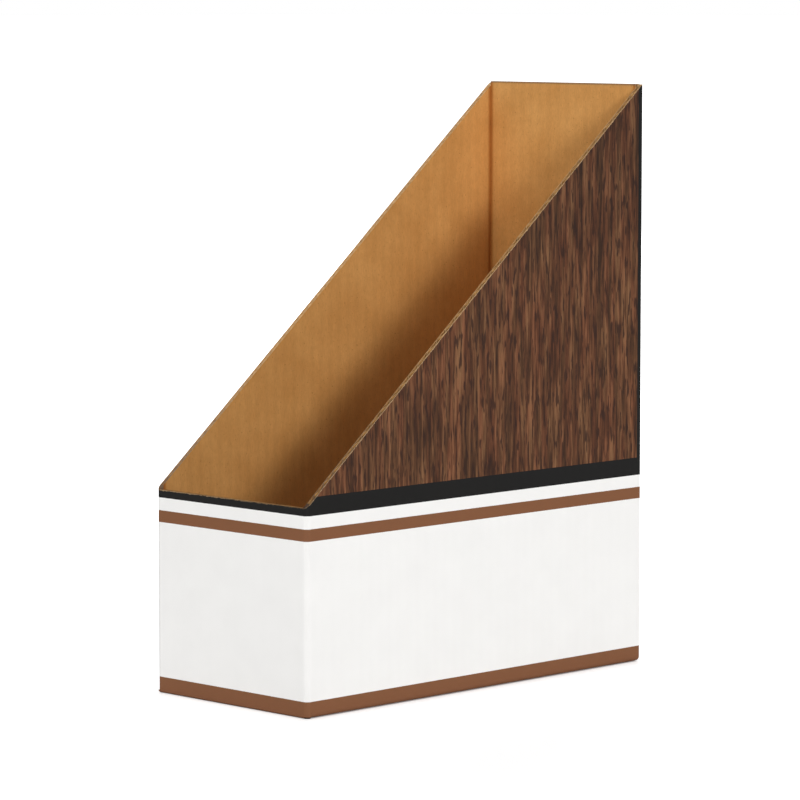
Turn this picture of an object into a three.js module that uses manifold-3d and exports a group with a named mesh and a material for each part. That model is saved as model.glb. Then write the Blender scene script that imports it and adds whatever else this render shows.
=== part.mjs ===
// Magazine file holder: one blank of corrugated board, folded into an open box with a sloping top.
//
// The four walls form a sleeve. One corner of the sleeve is glued, and the other three are creases.
// The base is a panel creased to the right side, with a tuck flap that stands inside the left side,
// and two dust flaps above it, creased to the front and the back. It lies between those two walls.
// With its base open, the sleeve folds flat as a parallelogram, so every crease is a hinge.
//
// Units are millimetres, +Z is up, +X is the holder's right and -Y is its low front.
// The origin is on the floor, under the middle of the holder.
import * as THREE from "three";
import { mergeVertices } from "three/addons/utils/BufferGeometryUtils.js";
import Module from "manifold-3d";

// Outside of the folded holder.
const WIDTH = 107;
const DEPTH = 238;
const BACK_HEIGHT = 298;
const FRONT_HEIGHT = 101;

// The board, and the room that a crease leaves between the two panels that it joins.
const BOARD = 2.5;
const CREASE_GAP = 0.3;

// The glued corner: a tab inside the right side, pressed thinner than the board.
const TAB_WIDTH = 28;
const TAB_THICKNESS = 1.5;
const TAB_TAPER = 9;

// The tuck flap: its height above the floor, its distance from the left side, and its sloped ends.
const TUCK_HEIGHT = 13;
const TUCK_ROOM = 3.4;
const TUCK_FRONT_TAPER = 19;
const TUCK_REAR_TAPER = 9;
const TUCK_END_ROOM = 2;

// The base panel has a shoulder beyond each end of the tuck flap, which all but reaches the left side.
const SHOULDER_ROOM = 0.5;

// The dust flaps: their length into the holder, the slope of the edge beside the right side,
// and the room that they leave at both ends.
const DUST_LENGTH = 38;
const FRONT_DUST_SLOPE = 2.0;
const REAR_DUST_SLOPE = 1.05;
const DUST_END_ROOM = 2.2;
const DUST_FREE_TAPER = 6;

// Steps in an arc of 45 degrees, where a crease rounds the board.
const ARC_STEPS = 4;

// Faces that the pieces share.
const right = WIDTH / 2;
const left = -WIDTH / 2;
const rear = DEPTH / 2;
const front = -DEPTH / 2;
const rightInside = right - BOARD;
const leftInside = left + BOARD;
const rearInside = rear - BOARD;
const frontInside = front + BOARD;
const panelTop = BOARD;
const dustTop = 2 * BOARD;
const tuckOutside = leftInside + TUCK_ROOM;
const tuckInside = tuckOutside + BOARD;
const tuckFront = frontInside + TUCK_END_ROOM;
const tuckRear = rearInside - TUCK_END_ROOM;

const wasm = await Module();
wasm.setup();

// Turns a closed geometry into a solid that can be cut.
function solid(geometry) {
  const bare = geometry.index ? geometry.toNonIndexed() : geometry.clone();
  bare.deleteAttribute("normal");
  bare.deleteAttribute("uv");
  const merged = mergeVertices(bare, 1e-4);
  return new wasm.Manifold(
    new wasm.Mesh({
      numProp: 3,
      vertProperties: merged.attributes.position.array,
      triVerts: new Uint32Array(merged.index.array),
    }),
  );
}

// Turns a solid back into a flat-shaded geometry.
function geometryOf(body) {
  const mesh = body.getMesh();
  const indexed = new THREE.BufferGeometry();
  indexed.setAttribute("position", new THREE.BufferAttribute(mesh.vertProperties, 3));
  indexed.setIndex(new THREE.BufferAttribute(mesh.triVerts, 1));
  const flat = indexed.toNonIndexed();
  flat.computeVertexNormals();
  return flat;
}

// An outline in two of the holder's axes, extruded along the third from one place to another.
// The outline is (y, z) along x, (z, x) along y and (x, y) along z.
const ALONG = {
  x: [new THREE.Vector3(0, 1, 0), new THREE.Vector3(0, 0, 1), new THREE.Vector3(1, 0, 0)],
  y: [new THREE.Vector3(0, 0, 1), new THREE.Vector3(1, 0, 0), new THREE.Vector3(0, 1, 0)],
  z: [new THREE.Vector3(1, 0, 0), new THREE.Vector3(0, 1, 0), new THREE.Vector3(0, 0, 1)],
};

function extrude(axis, points, from, to) {
  const outline = new THREE.Shape(points.map(([u, v]) => new THREE.Vector2(u, v)));
  const geometry = new THREE.ExtrudeGeometry(outline, { depth: to - from, bevelEnabled: false });
  geometry.translate(0, 0, from);
  geometry.applyMatrix4(new THREE.Matrix4().makeBasis(...ALONG[axis]));
  return solid(geometry);
}

// An outline drawn as (x, z), in the order that an extrusion along y takes.
const swapped = (points) => points.map(([x, z]) => [z, x]);

// Points of an arc about a centre, with angles in degrees.
function arc(u, v, radius, fromDegrees, toDegrees) {
  const steps = Math.max(1, Math.round((ARC_STEPS * Math.abs(toDegrees - fromDegrees)) / 45));
  return Array.from({ length: steps + 1 }, (_, i) => {
    const angle = THREE.MathUtils.degToRad(fromDegrees + ((toDegrees - fromDegrees) * i) / steps);
    return [u + radius * Math.cos(angle), v + radius * Math.sin(angle)];
  });
}

// Half of a creased corner: the board's end is mitred at 45 degrees and rounded outside, about the inner
// corner. The angles run round the half that this panel keeps. The corner is moved back by half the gap.
function halfCrease(u, v, fromDegrees, toDegrees, backU, backV) {
  const du = (backU * CREASE_GAP) / 2;
  const dv = (backV * CREASE_GAP) / 2;
  return arc(u + du, v + dv, BOARD, fromDegrees, toDegrees);
}

// The side's outline as (y, z): low in front and high at the back.
const slope = (BACK_HEIGHT - FRONT_HEIGHT) / DEPTH;
const heightAt = (y) => FRONT_HEIGHT + slope * (y - front);

function sideOutline(frontEnd, rearEnd) {
  return [
    [frontEnd, 0],
    [rearEnd, 0],
    [rearEnd, heightAt(rearEnd)],
    [frontEnd, heightAt(frontEnd)],
  ];
}

// The right side carries the rounded front corner, ends raw at the back and is creased to the base.
function rightSide() {
  const plan = [
    [rightInside, frontInside],
    ...arc(rightInside, frontInside, BOARD, -90, 0),
    [right, rear],
    [rightInside, rear],
  ];
  const end = [
    [rightInside, BACK_HEIGHT],
    [rightInside, panelTop + CREASE_GAP / 2],
    ...halfCrease(rightInside, panelTop, -45, 0, 0, 1),
    [right, BACK_HEIGHT],
  ];
  return extrude("z", plan, 0, BACK_HEIGHT)
    .intersect(extrude("y", swapped(end), front, rear))
    .intersect(extrude("x", sideOutline(front, rear), left, right));
}

// The left side carries the rounded rear corner, is mitred at the front and stands on its raw lower edge.
function leftSide() {
  const plan = [
    [leftInside, rearInside],
    ...arc(leftInside, rearInside, BOARD, 90, 180),
    ...halfCrease(leftInside, frontInside, 180, 225, 0, 1),
    [leftInside, frontInside + CREASE_GAP / 2],
  ];
  return extrude("z", plan, 0, BACK_HEIGHT).intersect(
    extrude("x", sideOutline(front, rear), left, right),
  );
}

// The front and back stand above the base panel and are creased to their dust flaps.
function wallEnd(outside, inside, top) {
  const inward = Math.sign(inside - outside);
  const turn = inward > 0 ? [180, 225] : [0, -45];
  return [
    [inside, dustTop + CREASE_GAP / 2],
    [inside, top],
    [outside, top],
    ...halfCrease(inside, dustTop, ...turn, 0, 1),
  ];
}

function frontWall() {
  const rightEnd = rightInside - CREASE_GAP;
  const plan = [
    [leftInside + CREASE_GAP / 2, frontInside],
    ...halfCrease(leftInside, frontInside, 225, 270, 1, 0),
    [rightEnd, front],
    [rightEnd, frontInside],
  ];
  return extrude("z", plan, 0, BACK_HEIGHT).intersect(
    extrude("x", wallEnd(front, frontInside, FRONT_HEIGHT), left, right),
  );
}

function backWall() {
  const plan = [
    [leftInside + CREASE_GAP, rearInside],
    [rightInside - CREASE_GAP, rearInside],
    [rightInside - CREASE_GAP, rear],
    [leftInside + CREASE_GAP, rear],
  ];
  return extrude("z", plan, 0, BACK_HEIGHT).intersect(
    extrude("x", wallEnd(rear, rearInside, BACK_HEIGHT), left, right),
  );
}

// The tab lies inside the right side, from the back wall forward, with tapered ends.
function glueTab() {
  const rearEnd = rearInside - CREASE_GAP;
  const frontEnd = rearEnd - TAB_WIDTH;
  const lowest = dustTop + CREASE_GAP;
  const highest = heightAt(frontEnd) - BOARD;
  return extrude(
    "x",
    [
      [rearEnd, lowest],
      [rearEnd, highest + TAB_TAPER],
      [frontEnd, highest - TAB_TAPER],
      [frontEnd, lowest + TAB_TAPER],
    ],
    rightInside - TAB_THICKNESS,
    rightInside,
  );
}

// The base panel runs from the crease under the right side to the crease of the tuck flap, and from inside
// the front to inside the back.
function basePanel() {
  const end = [
    ...halfCrease(tuckInside, panelTop, 225, 270, 1, 0),
    ...halfCrease(rightInside, panelTop, -90, -45, -1, 0),
    [rightInside - CREASE_GAP / 2, panelTop],
    [tuckInside + CREASE_GAP / 2, panelTop],
  ];
  const shoulder = (from, to) =>
    extrude(
      "z",
      [
        [leftInside + SHOULDER_ROOM, from],
        [tuckInside + BOARD, from],
        [tuckInside + BOARD, to],
        [leftInside + SHOULDER_ROOM, to],
      ],
      0,
      panelTop,
    );
  return extrude("y", swapped(end), frontInside, rearInside)
    .add(shoulder(frontInside, tuckFront - CREASE_GAP))
    .add(shoulder(tuckRear + CREASE_GAP, rearInside));
}

// The tuck flap stands on the base panel's free edge, with both ends sloped so that it slips in.
function tuckFlap() {
  const end = [
    ...halfCrease(tuckInside, panelTop, 180, 225, 0, 1),
    [tuckInside, panelTop + CREASE_GAP / 2],
    [tuckInside, TUCK_HEIGHT],
    [tuckOutside, TUCK_HEIGHT],
  ];
  const side = [
    [tuckFront, 0],
    [tuckRear, 0],
    [tuckRear, panelTop],
    [tuckRear - TUCK_REAR_TAPER, TUCK_HEIGHT],
    [tuckFront + TUCK_FRONT_TAPER, TUCK_HEIGHT],
    [tuckFront, panelTop],
  ];
  return extrude("y", swapped(end), front, rear).intersect(
    extrude("x", side, left, right),
  );
}

// A dust flap lies on the base panel. Its edge beside the right side is sloped, so that it and the base
// panel don't cross while both swing down.
function dustFlap(outside, inside, edgeSlope) {
  const inward = Math.sign(inside - outside);
  const turn = inward > 0 ? [225, 270] : [-90, -45];
  const arcPoints = halfCrease(inside, dustTop, ...turn, inward, 0);
  const end = [
    ...(inward > 0 ? arcPoints : arcPoints.reverse()),
    [outside + inward * DUST_LENGTH, panelTop],
    [outside + inward * DUST_LENGTH, dustTop],
    [inside + (inward * CREASE_GAP) / 2, dustTop],
  ];
  const rightAt = (length) => right - DUST_END_ROOM - length * edgeSlope;
  const leftEnd = tuckInside + DUST_END_ROOM;
  const plan = [
    [leftEnd, outside],
    [rightAt(0) - BOARD, outside],
    [rightAt(BOARD) - BOARD, inside],
    [rightAt(DUST_LENGTH), outside + inward * DUST_LENGTH],
    [leftEnd + DUST_FREE_TAPER, outside + inward * DUST_LENGTH],
    [leftEnd, inside],
  ];
  return extrude("x", end, left, right).intersect(extrude("z", plan, 0, dustTop));
}

// Outside print, kraft inside and the raw board of the flaps.
const finishes = {
  woodgrain: { color: "#5d3b2b", roughness: 0.62, metalness: 0 },
  white: { color: "#f1f0ee", roughness: 0.5, metalness: 0 },
  kraft: { color: "#b9833f", roughness: 0.88, metalness: 0 },
};

function piece(name, body, finish) {
  const mesh = new THREE.Mesh(geometryOf(body), new THREE.MeshStandardMaterial(finishes[finish]));
  mesh.name = name;
  return mesh;
}

const holder = new THREE.Group();
holder.name = "magazine_file_holder";
holder.add(
  piece("right_side_wall", rightSide(), "woodgrain"),
  piece("glue_tab", glueTab(), "kraft"),
  piece("left_side_wall", leftSide(), "woodgrain"),
  piece("back_wall", backWall(), "woodgrain"),
  piece("front_wall", frontWall(), "white"),
  piece("base_panel", basePanel(), "kraft"),
  piece("tuck_flap", tuckFlap(), "kraft"),
  piece("front_dust_flap", dustFlap(front, frontInside, FRONT_DUST_SLOPE), "kraft"),
  piece("rear_dust_flap", dustFlap(rear, rearInside, REAR_DUST_SLOPE), "kraft"),
);

export default holder;
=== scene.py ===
# %% [markdown]
# # A magazine file holder of corrugated board
# The real holder is one die-cut sheet of corrugated board. A sheet of this kind is three papers glued
# together: a liner outside, a liner inside, and a wavy paper, the fluting, between them. The outside is
# white paper printed with stripes and a wood pattern, and the inside is plain brown kraft.
# The imported CAD model gives every panel's size and place. Here each panel gets its three papers, so that
# the cut edges show real flutes, and the creases get a printed skin of their own.

# %% Load the imported holder
import math

import bmesh
import bpy
from mathutils import Matrix, Vector


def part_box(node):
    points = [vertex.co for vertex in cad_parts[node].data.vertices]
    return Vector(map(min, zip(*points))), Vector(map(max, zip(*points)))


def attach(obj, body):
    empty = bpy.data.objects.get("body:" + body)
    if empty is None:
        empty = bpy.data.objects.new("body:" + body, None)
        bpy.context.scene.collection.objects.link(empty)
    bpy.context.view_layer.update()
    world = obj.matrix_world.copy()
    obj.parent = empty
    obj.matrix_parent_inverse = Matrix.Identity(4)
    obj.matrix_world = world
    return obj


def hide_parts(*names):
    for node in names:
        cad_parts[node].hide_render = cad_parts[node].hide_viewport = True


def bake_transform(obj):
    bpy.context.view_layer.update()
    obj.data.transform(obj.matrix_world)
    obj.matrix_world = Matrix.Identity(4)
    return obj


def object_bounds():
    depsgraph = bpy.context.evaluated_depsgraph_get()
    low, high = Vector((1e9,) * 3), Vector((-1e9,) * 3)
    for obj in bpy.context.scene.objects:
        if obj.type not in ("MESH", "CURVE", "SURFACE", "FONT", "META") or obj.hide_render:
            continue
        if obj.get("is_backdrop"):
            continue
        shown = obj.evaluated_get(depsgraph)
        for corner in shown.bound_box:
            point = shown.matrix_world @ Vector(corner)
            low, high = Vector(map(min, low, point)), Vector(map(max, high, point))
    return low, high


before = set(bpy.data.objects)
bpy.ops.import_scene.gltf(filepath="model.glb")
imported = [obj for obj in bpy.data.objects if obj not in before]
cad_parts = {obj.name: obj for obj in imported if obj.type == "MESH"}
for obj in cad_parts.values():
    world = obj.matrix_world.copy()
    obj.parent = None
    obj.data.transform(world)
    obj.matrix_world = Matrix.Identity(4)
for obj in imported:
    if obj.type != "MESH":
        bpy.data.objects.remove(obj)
cad_low, cad_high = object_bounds()

# %% [markdown]
# ## Sizes
# The panels' places are read from the CAD model, so they are never typed twice. The papers' own sizes are
# those of a thin B-flute board: liners of about a third of a millimetre and a wave every 6.4 mm. A panel's
# printed liner ends a seam's width before its crease, and the skin of the crease goes on from there.

# %% Measure the holder
MM = 0.001
BOARD = 2.5 * MM
LINER = 0.35 * MM
PAPER = 0.28 * MM
FLUTE_PITCH = 6.4 * MM
SEAM = 0.2 * MM

left, front, _ = cad_low
right, rear, back_height = cad_high
left_inside, right_inside = left + BOARD, right - BOARD
front_inside, rear_inside = front + BOARD, rear - BOARD
front_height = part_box("front_wall")[1].z
slope = (back_height - front_height) / (rear - front)
print(f"holder: {(right - left) / MM:.0f} x {(rear - front) / MM:.0f} x {back_height / MM:.0f} mm")
print(f"the sides rise {slope:.2f} mm for each mm towards the back")

# %% [markdown]
# ## Helpers for colours and nodes
# Colours are written as they look on a screen, in hex, and Blender's shaders want linear light. One
# function turns the one into the other. Another adds a node to any tree with its settings and its inputs,
# which keeps the materials short enough to read.
# Many inputs go by number below. A Map Range takes its value at 0, and turns the range from 1 to 2 into
# the range from 3 to 4. A mix of two colours takes its share at 0 and the colours at 6 and 7. Settings
# that many nodes share have short names: MIX blends two colours, TINT multiplies them, as a thin ink over
# paper does, and SOFT eases both ends of a Map Range.

# %% Write the colour and node helpers
MIX = {"data_type": "RGBA"}
TINT = {"data_type": "RGBA", "blend_type": "MULTIPLY"}
SOFT = {"interpolation_type": "SMOOTHSTEP"}


def paint(hex_colour):
    """A screen colour such as #c08a45 as linear red, green, blue and alpha."""
    channels = [int(hex_colour[i : i + 2], 16) / 255 for i in (1, 3, 5)]
    linear = [c / 12.92 if c <= 0.04045 else ((c + 0.055) / 1.055) ** 2.4 for c in channels]
    return (*linear, 1.0)


def feed(node, inputs):
    """Fills inputs with a value, a socket to join, or a node, whose first output in use is joined."""
    for name, value in inputs.items():
        if isinstance(value, bpy.types.Node):
            value = next(socket for socket in value.outputs if socket.enabled)
        if isinstance(value, bpy.types.NodeSocket):
            node.id_data.links.new(value, node.inputs[name])
        else:
            node.inputs[name].default_value = value


def add(tree, kind, inputs=None, **settings):
    """Adds a node to a tree, with its settings and its inputs."""
    node = tree.nodes.new(kind)
    for name, value in settings.items():
        setattr(node, name, value)
    feed(node, inputs or {})
    return node


print("kraft in linear light:", [round(c, 3) for c in paint("#c08a45")[:3]])

# %% [markdown]
# ## The fluting, with Geometry Nodes
# The wavy paper repeats one wave along the whole panel. An Array modifier could repeat a modelled wave,
# but one node tree fits every panel's length and thickness. It has a named input for each size, and
# starts from a flat grid with enough points for smooth waves.

# %% Start the fluting tree
POINTS_PER_WAVE = 14.0
tree = fluting_tree = bpy.data.node_groups.new("fluting", "GeometryNodeTree")
tree.interface.new_socket("Geometry", in_out="OUTPUT", socket_type="NodeSocketGeometry")
for name in ("Length", "Height", "Wave Height", "Pitch", "Paper", "Crushed End"):
    tree.interface.new_socket(name, in_out="INPUT", socket_type="NodeSocketFloat")
tree.interface.new_socket("Material", in_out="INPUT", socket_type="NodeSocketMaterial")
given = add(tree, "NodeGroupInput").outputs
waves = add(tree, "ShaderNodeMath", {0: given["Length"], 1: given["Pitch"]}, operation="DIVIDE")
columns = add(tree, "ShaderNodeMath", {0: waves, 1: POINTS_PER_WAVE}, operation="MULTIPLY")
size = {"Size X": given["Length"], "Size Y": given["Height"], "Vertices X": columns, "Vertices Y": 2}
grid = add(tree, "GeometryNodeMeshGrid", size)
print("points along each wave:", POINTS_PER_WAVE)

# %% [markdown]
# ## The wave
# Each point of the grid is lifted by the sine of its distance along the panel. Near the panel's ends the
# wave is lower, because the creasing rule crushes the board there.

# %% Bend the grid into a wave
CRUSHED_SHARE = 0.35
place = add(tree, "ShaderNodeSeparateXYZ", {0: add(tree, "GeometryNodeInputPosition")}).outputs
half = add(tree, "ShaderNodeMath", {0: given["Length"], 1: 0.5}, operation="MULTIPLY")
along = add(tree, "ShaderNodeMath", {0: place["X"], 1: half})
turns = add(tree, "ShaderNodeMath", {0: along, 1: given["Pitch"]}, operation="DIVIDE")
angle = add(tree, "ShaderNodeMath", {0: turns, 1: math.tau}, operation="MULTIPLY")
wave = add(tree, "ShaderNodeMath", {0: angle}, operation="SINE")
middle = add(tree, "ShaderNodeMath", {0: place["X"]}, operation="ABSOLUTE")
to_end = add(tree, "ShaderNodeMath", {0: half, 1: middle}, operation="SUBTRACT")
swelling = {0: to_end, 1: 0.0, 2: given["Crushed End"], 3: CRUSHED_SHARE, 4: 1.0}
swell = add(tree, "ShaderNodeMapRange", swelling, **SOFT)
free = add(tree, "ShaderNodeMath", {0: given["Wave Height"], 1: given["Paper"]}, operation="SUBTRACT")
reach = add(tree, "ShaderNodeMath", {0: free, 1: 0.5}, operation="MULTIPLY")
high = add(tree, "ShaderNodeMath", {0: reach, 1: swell}, operation="MULTIPLY")
lift = add(tree, "ShaderNodeMath", {0: wave, 1: high}, operation="MULTIPLY")
shift = add(tree, "ShaderNodeCombineXYZ", {"Z": lift})
bent = add(tree, "GeometryNodeSetPosition", {"Geometry": grid, "Offset": shift})
print("the wave is made by", len(tree.nodes), "nodes")

# %% [markdown]
# ## The thickness of the wavy paper
# The bent sheet has no thickness yet. Solidify is a modifier and can't stand in a node tree, so Extrude
# Mesh pushes a second sheet out, with walls all round, and a turned copy of the first closes the back.
# The tree ends in Realize Instances and Set Material: what comes out is plain mesh with its paper on.

# %% Thicken the wave and end the tree
WELD = 0.01 * MM
pushed = {"Mesh": bent, "Offset Scale": given["Paper"], "Individual": False}
thick = add(tree, "GeometryNodeExtrudeMesh", pushed, mode="FACES")
under = add(tree, "GeometryNodeFlipFaces", {"Mesh": bent})
both = add(tree, "GeometryNodeJoinGeometry")
for sheet in (thick, under):
    feed(both, {0: sheet})
closed = add(tree, "GeometryNodeMergeByDistance", {"Geometry": both, "Distance": WELD})
real = add(tree, "GeometryNodeRealizeInstances", {"Geometry": closed})
finished = add(tree, "GeometryNodeSetMaterial", {"Geometry": real, "Material": given["Material"]})
add(tree, "NodeGroupOutput", {0: finished})
print("fluting tree:", len(tree.nodes), "nodes")

# %% [markdown]
# ## The papers
# Each paper of the board gets its own material, named for the real paper. All of them are dull: uncoated
# paper scatters light almost evenly, so the roughness is high and the highlights are weak. Every mesh
# keeps, in an attribute, where its points are on the standing holder, and the patterns read that place. So
# a pattern runs on unbroken from panel to panel, as on the one printed sheet, and it stays on the paper
# where a crease bends. Places are in metres, so a noise of scale 350 has blotches of about 3 mm.
# Recycled fluting paper is a dull brown. It shows only in the cut edges, so broad blotches are enough.

# %% Make the fluting paper
SHEET_PLACE = "place_on_standing_holder"


def paper_material(name):
    """An empty node material, with its shader and the places that its patterns read."""
    material = bpy.data.materials.new(name)
    material.use_nodes = True
    tree = material.node_tree
    where = add(tree, "ShaderNodeAttribute", attribute_name=SHEET_PLACE).outputs["Vector"]
    return material, tree, tree.nodes["Principled BSDF"], where


fluting_paper, tree, shader, where = paper_material("recycled_fluting_paper")
blotch = add(tree, "ShaderNodeTexNoise", {"Vector": where, "Scale": 350.0, "Detail": 4.0})
tone = add(tree, "ShaderNodeValToRGB", {0: blotch})
dark, light = tone.color_ramp.elements
dark.position, dark.color = 0.3, paint("#8d6437")
light.position, light.color = 0.7, paint("#b98d56")
feed(shader, {"Base Color": tone, "Roughness": 0.95, "Specular IOR Level": 0.2})
print("paper of the flutes:", fluting_paper.name)

# %% [markdown]
# ## The cut edges
# A cutting rule tears the fibres a little, so a cut edge is paler and rougher than the paper's face. The
# fibres are about 0.3 mm long, and the noise is drawn at that size. Larger blotches of 4 mm show where
# paper tore away. The cuts are greyer the lower they stand, and the front's own edge is the greyest. At
# the near corner that edge is darkened further as painted shadow, where the right side shades it. Towards
# the left side the cuts are painted lighter, up to 1.4 times, as painted light where the left side's cut
# lies in shade. One colour ramp holds the greys and the painted shadow: its first few hundredths are the
# front's own edge, and the rest is the height above it.

# %% Make the cut paper
GREY_RISE, FRONT_SHARE = 70 * MM, 0.03
cut_paper, tree, shader, where = paper_material("die_cut_paper_edge")
axes = add(tree, "ShaderNodeSeparateXYZ", {0: where}).outputs
fibre_look = {"Vector": where, "Scale": 3000.0, "Detail": 3.0, "Roughness": 0.7}
fibre = add(tree, "ShaderNodeTexNoise", fibre_look)
tone = add(tree, "ShaderNodeValToRGB", {0: fibre})
dark, light = tone.color_ramp.elements
dark.position, dark.color = 0.25, paint("#a27e52")
light.position, light.color = 0.75, paint("#cfab7e")

above_front = add(tree, "ShaderNodeMapRange", {0: axes["Z"], 1: front_height, 2: front_height + GREY_RISE})
to_left = {0: axes["X"], 1: right - 0.4 * GREY_RISE, 2: right - GREY_RISE, 4: FRONT_SHARE}
# Painted shadow: the front's own edge is darkened towards the near corner, which the right side shades.
out_of_corner_shadow = add(tree, "ShaderNodeMapRange", to_left)
grey_fade = add(tree, "ShaderNodeMath", {0: above_front, 1: out_of_corner_shadow})
cut_greys = add(tree, "ShaderNodeValToRGB", {0: grey_fade})
grey, ungreyed = cut_greys.color_ramp.elements
grey.position, grey.color = 0.0, paint("#584f5d")
ungreyed.position, ungreyed.color = 1.0, paint("#ffffff")
cut_greys.color_ramp.elements.new(FRONT_SHARE).color = paint("#7a7680")
cut_greys.color_ramp.elements.new(0.12).color = paint("#b4bbd6")
greyed = add(tree, "ShaderNodeMix", {0: 1.0, 6: tone, 7: cut_greys}, **TINT)

torn_off = add(tree, "ShaderNodeTexNoise", {"Vector": where, "Scale": 260.0, "Detail": 3.0})
torn_tone = add(tree, "ShaderNodeMapRange", {0: torn_off, 1: 0.3, 2: 0.7, 3: 0.8, 4: 1.15})
# Painted light: the cuts are lighter towards the left side, where the left side's cut lies in shade.
left_painted_light = add(tree, "ShaderNodeMapRange", {0: axes["X"], 1: left, 2: 0.0, 3: 1.4, 4: 1.0})
cut_tone = add(tree, "ShaderNodeMath", {0: torn_tone, 1: left_painted_light}, operation="MULTIPLY")
blotched = add(tree, "ShaderNodeMix", {0: 1.0, 6: greyed, 7: cut_tone}, **TINT)
rough = add(tree, "ShaderNodeBump", {"Height": fibre, "Strength": 0.6, "Distance": 0.2 * MM})
feed(shader, {"Base Color": blotched, "Normal": rough, "Roughness": 0.95, "Specular IOR Level": 0.2})
print("paper of the cut edges:", len(tree.nodes), "nodes")

# %% [markdown]
# ## Kraft liner
# The inside of the holder is unprinted kraft paper. Its details have three sizes: clouds a few centimetres
# across, where the pulp lay thicker, long upright fibres, and dark specks of about a millimetre. An image
# of real paper could show them, but noise at the right scale has no seams and no repeats.

# %% Make the kraft liner
kraft_liner, tree, shader, where = paper_material("kraft_liner")
clouds = add(tree, "ShaderNodeTexNoise", {"Vector": where, "Scale": 42.0, "Detail": 5.0, "Roughness": 0.6})
tone = add(tree, "ShaderNodeValToRGB", {0: clouds})
dark, light = tone.color_ramp.elements
dark.position, dark.color = 0.3, paint("#bd8748")
light.position, light.color = 0.7, paint("#cc9655")
upright = add(tree, "ShaderNodeMapping", {"Vector": where, "Scale": (1.0, 1.0, 0.28)})
fibre_look = {"Vector": upright, "Scale": 1500.0, "Detail": 4.0, "Roughness": 0.75}
fibres = add(tree, "ShaderNodeTexNoise", fibre_look)
fibre_tone = add(tree, "ShaderNodeMapRange", {0: fibres, 1: 0.25, 2: 0.75, 3: 0.86, 4: 1.13})
with_fibres = add(tree, "ShaderNodeMix", {0: 1.0, 6: tone, 7: fibre_tone}, **TINT)
specks = add(tree, "ShaderNodeTexNoise", {"Vector": where, "Scale": 900.0, "Detail": 2.0})
speck_mask = add(tree, "ShaderNodeMapRange", {0: specks, 1: 0.66, 2: 0.72, 3: 0.0, 4: 0.45})
with_specks = add(tree, "ShaderNodeMix", {0: speck_mask, 6: with_fibres, 7: paint("#7a4f22")}, **MIX)
print("fresh kraft:", len(tree.nodes), "nodes")

# %% [markdown]
# ## Creases, and painted light and shade on the kraft
# The kraft is painted darker towards the low front, as painted shade, and lighter towards the back, as
# painted light. The creasing rule pressed it dark in the upright corners, and painted shade deepens that
# crease line. Along the back's top edge a dark line is painted shade for the shaded cut edge. These marks
# follow the holder's shape, so they are worked out from the place and need no noise.

# %% Crease the kraft and paint its light and shade
FRONT_TONE, BACK_TONE = 0.84, 1.08
SCORE_EDGE, SCORE_WIDTH, TOP_EDGE_SHADE = 0.4 * MM, 2.8 * MM, 1.4 * MM


def into_corner(tree, axes):
    """How far a place lies into the round of an upright corner. It is negative inside the holder."""
    depths = []
    for axis, wall in (("X", right_inside), ("Y", rear_inside)):
        off_centre = add(tree, "ShaderNodeMath", {0: axes[axis]}, operation="ABSOLUTE")
        depths.append(add(tree, "ShaderNodeMath", {0: off_centre, 1: wall}, operation="SUBTRACT"))
    return add(tree, "ShaderNodeMath", dict(enumerate(depths)), operation="MINIMUM")


axes = add(tree, "ShaderNodeSeparateXYZ", {0: where}).outputs
# Painted shade towards the low front and painted light towards the back, as a tone along y.
to_back = {0: axes["Y"], 1: front_inside, 2: rear_inside, 3: FRONT_TONE, 4: BACK_TONE}
painted_front_shade_rear_light = add(tree, "ShaderNodeMapRange", to_back)
light_and_shade_painted = add(tree, "ShaderNodeMix", {0: 1.0, 6: with_specks, 7: painted_front_shade_rear_light}, **TINT)
# The crease score: the creasing rule's dark line, deepened by painted shade in the upright corners.
to_corner = {0: into_corner(tree, axes), 1: -SCORE_WIDTH, 2: -SCORE_EDGE}
crease_score_and_shade = add(tree, "ShaderNodeMapRange", to_corner, **SOFT)
scored_and_shaded = add(tree, "ShaderNodeMix", {0: crease_score_and_shade, 6: light_and_shade_painted, 7: paint("#cdae82")}, **TINT)
# Painted shade: a dark line along the back's top edge, for the shaded cut edge.
to_top = {0: axes["Z"], 1: back_height - TOP_EDGE_SHADE, 2: back_height, 4: 0.75}
top_edge_shade = add(tree, "ShaderNodeMapRange", to_top, **SOFT)
top_edge_shaded = add(tree, "ShaderNodeMix", {0: top_edge_shade, 6: scored_and_shaded, 7: paint("#5f5140")}, **MIX)
print(f"creased corners: dark for {SCORE_WIDTH / MM:.1f} mm")

# %% [markdown]
# ## The flutes behind the liner
# The flutes show through a liner as a faint washboard, one line every 6.4 mm. The print and the flutes use
# one coordinate that runs round the sleeve: x plus y. On a side only y changes, and on the front or back
# only x does. The lines are less than a tenth of a millimetre deep, so a shade and a bump are enough and
# no faces are spent on them. The fibres get a finer bump on top.

# %% Press the flutes into the kraft
def flute_ridges(tree, around):
    """A wave with one crest for each flute behind the liner."""
    turns = add(tree, "ShaderNodeMath", {0: around, 1: math.tau / FLUTE_PITCH}, operation="MULTIPLY")
    return add(tree, "ShaderNodeMath", {0: turns}, operation="SINE")


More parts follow.
